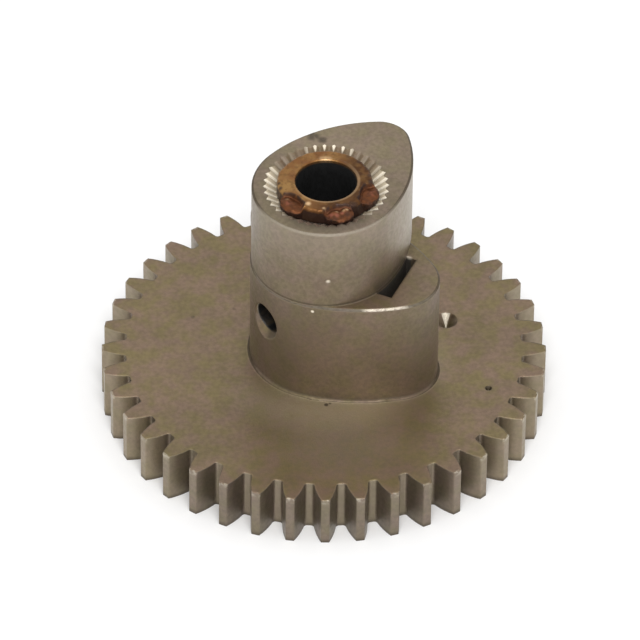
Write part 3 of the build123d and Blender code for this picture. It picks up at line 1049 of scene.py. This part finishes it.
def makeBronze(look):
    # the bush's bronze: gold and copper clouds, then what the mesh's marks say, with painted shade and
    # highlights, and painted shade in the bore
    material, tree, shader, place, normal = newMaterial("bearingBronze")
    spot = placeEffect(tree, places, {"Place": place, "Normal": normal})
    cloudy = placeEffect(tree, mottle, {"Place": place, "Cloud": 380.0, "Tint": 800.0, "Grain": 5000.0})
    worn = placeEffect(tree, edgeWear, {"Place": place, "Radius": 0.08 * mm, "Gain": 6.0})
    marks = {
        label: addNode(tree, "ShaderNodeAttribute", attribute_name=label).outputs["Fac"]
        for label in ("staked", "soiledAndShaded", "rubbedAndLit", "pink")
    }

    patchy = ramp(tree, cloudy["Spot"], 0.0, 0.8)
    speckled = times(tree, ramp(tree, cloudy["Spot"], 0.5, 1.0), look["much"]["speckled"])
    browned = times(tree, sectorShare(tree, place, *look["brownSide"]), ramp(tree, cloudy["Hue"], -0.9, 0.6))
    charred = times(tree, marks["staked"], rest(tree, patchy))
    bore = bushLook["boreRadius"] * mm
    begins, whole = look["boreEdge"]
    shallow, deep = look["boreDepth"]
    inBore = times(
        tree,
        ramp(tree, spot["Radius"], bore + begins, bore + whole),
        ramp(tree, spot["Height"], rimTop - shallow, rimTop - deep),
    )
    colour = blendTones(tree, cloudy["Cloud"], look["goldTone"], look["copperTone"])
    colour = layTones(
        tree,
        look,
        colour,
        ("brownTone", greatest(tree, browned, speckled), None),
        ("redTone", marks["staked"], None),
        ("soilAndShadeTone", charred, "charred"),
        ("pinkTone", times(tree, marks["pink"], patchy), None),
        ("soilAndShadeTone", marks["soiledAndShaded"], "soiledAndShaded"),
        ("rubbedAndLitTone", marks["rubbedAndLit"], None),
        ("boreTone", inBore, None),
    )
    tree.links.new(colour, shader.inputs["Base Color"])
    metal = maths(tree, "SUBTRACT", look["metallic"], times(tree, marks["soiledAndShaded"], look["dulled"]))
    tree.links.new(times(tree, metal, rest(tree, inBore)), shader.inputs["Metallic"])
    dirtyAndShaded = greatest(tree, times(tree, marks["soiledAndShaded"], 0.6), inBore, marks["staked"])
    rough = maths(tree, "ADD", look["roughness"], times(tree, cloudy["Spot"], 0.12))
    rough = maths(tree, "ADD", rough, times(tree, dirtyAndShaded, 0.16))
    tree.links.new(rough, shader.inputs["Roughness"])
    bump = addNode(
        tree,
        "ShaderNodeBump",
        {"Strength": 0.4, "Distance": 0.03 * mm, "Height": cloudy["Spot"], "Normal": worn["Normal"]},
    )
    tree.links.new(bump.outputs[0], shader.inputs["Normal"])
    return material


bush.data.materials.clear()
bush.data.materials.append(makeBronze(bronzeLook))
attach(bush, "root")
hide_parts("bush")
print("bronze made")

stageLook = {
    "floorSize": 6.0,  # metres
    "floorTone": (0.91, 0.91, 0.91, 1.0),
    "floorGlow": 0.06,  # share of the floor's look that is plain white
    "worldStrength": 0.8,
}


def seenRays(tree):
    # 1 for rays that show the background: from the camera, mirrored in metal, or through glass
    path = addNode(tree, "ShaderNodeLightPath")
    return greatest(tree, *(path.outputs[f"Is {kind} Ray"] for kind in ("Camera", "Glossy", "Transmission")))


def makeStage(look):
    # a matt floor that keeps the shadow, and a white world that lights evenly
    half = look["floorSize"] / 2
    mesh = bpy.data.meshes.new("floor")
    corners = [(-half, -half, 0), (half, -half, 0), (half, half, 0), (-half, half, 0)]
    mesh.from_pydata(corners, [], [(0, 1, 2, 3)])
    floor = bpy.data.objects.new("floor", mesh)
    bpy.context.scene.collection.objects.link(floor)
    material = bpy.data.materials.new("whiteFloor")
    material.use_nodes = True
    tree = material.node_tree
    tree.nodes.clear()
    matte = addNode(tree, "ShaderNodeBsdfDiffuse", {"Color": look["floorTone"]})
    glow = addNode(tree, "ShaderNodeEmission", {"Color": (1, 1, 1, 1), "Strength": 1.0})
    share = times(tree, seenRays(tree), look["floorGlow"])
    mixed = addNode(tree, "ShaderNodeMixShader", {0: share, 1: matte.outputs[0], 2: glow.outputs[0]})
    addNode(tree, "ShaderNodeOutputMaterial", {"Surface": mixed.outputs[0]})
    mesh.materials.append(material)
    world = bpy.data.worlds.new("studio")
    bpy.context.scene.world = world
    world.use_nodes = True
    sky = world.node_tree
    levels = {"Value": seenRays(sky), "To Min": look["worldStrength"], "To Max": 1.0}
    strength = addNode(sky, "ShaderNodeMapRange", levels)
    back = sky.nodes["Background"]
    back.inputs["Color"].default_value = (1, 1, 1, 1)
    sky.links.new(strength.outputs[0], back.inputs["Strength"])


makeStage(stageLook)


def aimed(source, target):
    # turns a lamp's own -Z towards its target
    return (Vector(target) - Vector(source)).to_track_quat("-Z", "Y").to_matrix().to_4x4()


lampLook = {
    "softbox": {"place": (0.03, -0.55, 0.9), "size": 0.5, "power": 6.1},
}


def makeLamps(look):
    for name, lamp in look.items():
        light = bpy.data.lights.new(name, "AREA")
        light.shape = "DISK"
        light.size = lamp["size"]
        light.energy = lamp["power"]
        holder = bpy.data.objects.new(name, light)
        holder.matrix_world = Matrix.Translation(lamp["place"]) @ aimed(lamp["place"], (0, 0, 0.02))
        bpy.context.scene.collection.objects.link(holder)


makeLamps(lampLook)
print("stage and lamps made")

cameraView = {
    "lens": 423.9,  # millimetres, on a picture 36 mm wide
    "elevation": 42.18,  # degrees that the camera looks down
    "roll": 0.73,  # degrees that the picture leans
    "distance": 1131.4 * mm,
    "aimRight": -0.587 * mm,  # the aim point, from the centre of the gear's face
    "aimUp": 4.164 * mm,
}


def makeCamera(view):
    # looks down at the aim point from in front, and leans a little
    tilt, lean = math.radians(view["elevation"]), math.radians(view["roll"])
    forward = Vector((0, math.cos(tilt), -math.sin(tilt)))
    level, upright = Vector((1, 0, 0)), Vector((0, math.sin(tilt), math.cos(tilt)))
    right = math.cos(lean) * level + math.sin(lean) * upright
    up = -math.sin(lean) * level + math.cos(lean) * upright
    place = Vector((0, 0, gearFace)) + view["aimRight"] * right + view["aimUp"] * up
    place -= view["distance"] * forward
    data = bpy.data.cameras.new("camera")
    data.sensor_width = 36.0
    data.lens = view["lens"]
    data.clip_start, data.clip_end = 0.01, 20.0
    holder = bpy.data.objects.new("camera", data)
    turn = Matrix((right, up, -forward)).transposed().to_4x4()
    holder.matrix_world = Matrix.Translation(place) @ turn
    bpy.context.scene.collection.objects.link(holder)
    bpy.context.scene.camera = holder


makeCamera(cameraView)
bpy.context.scene.view_settings.view_transform = "Standard"
print("camera set")
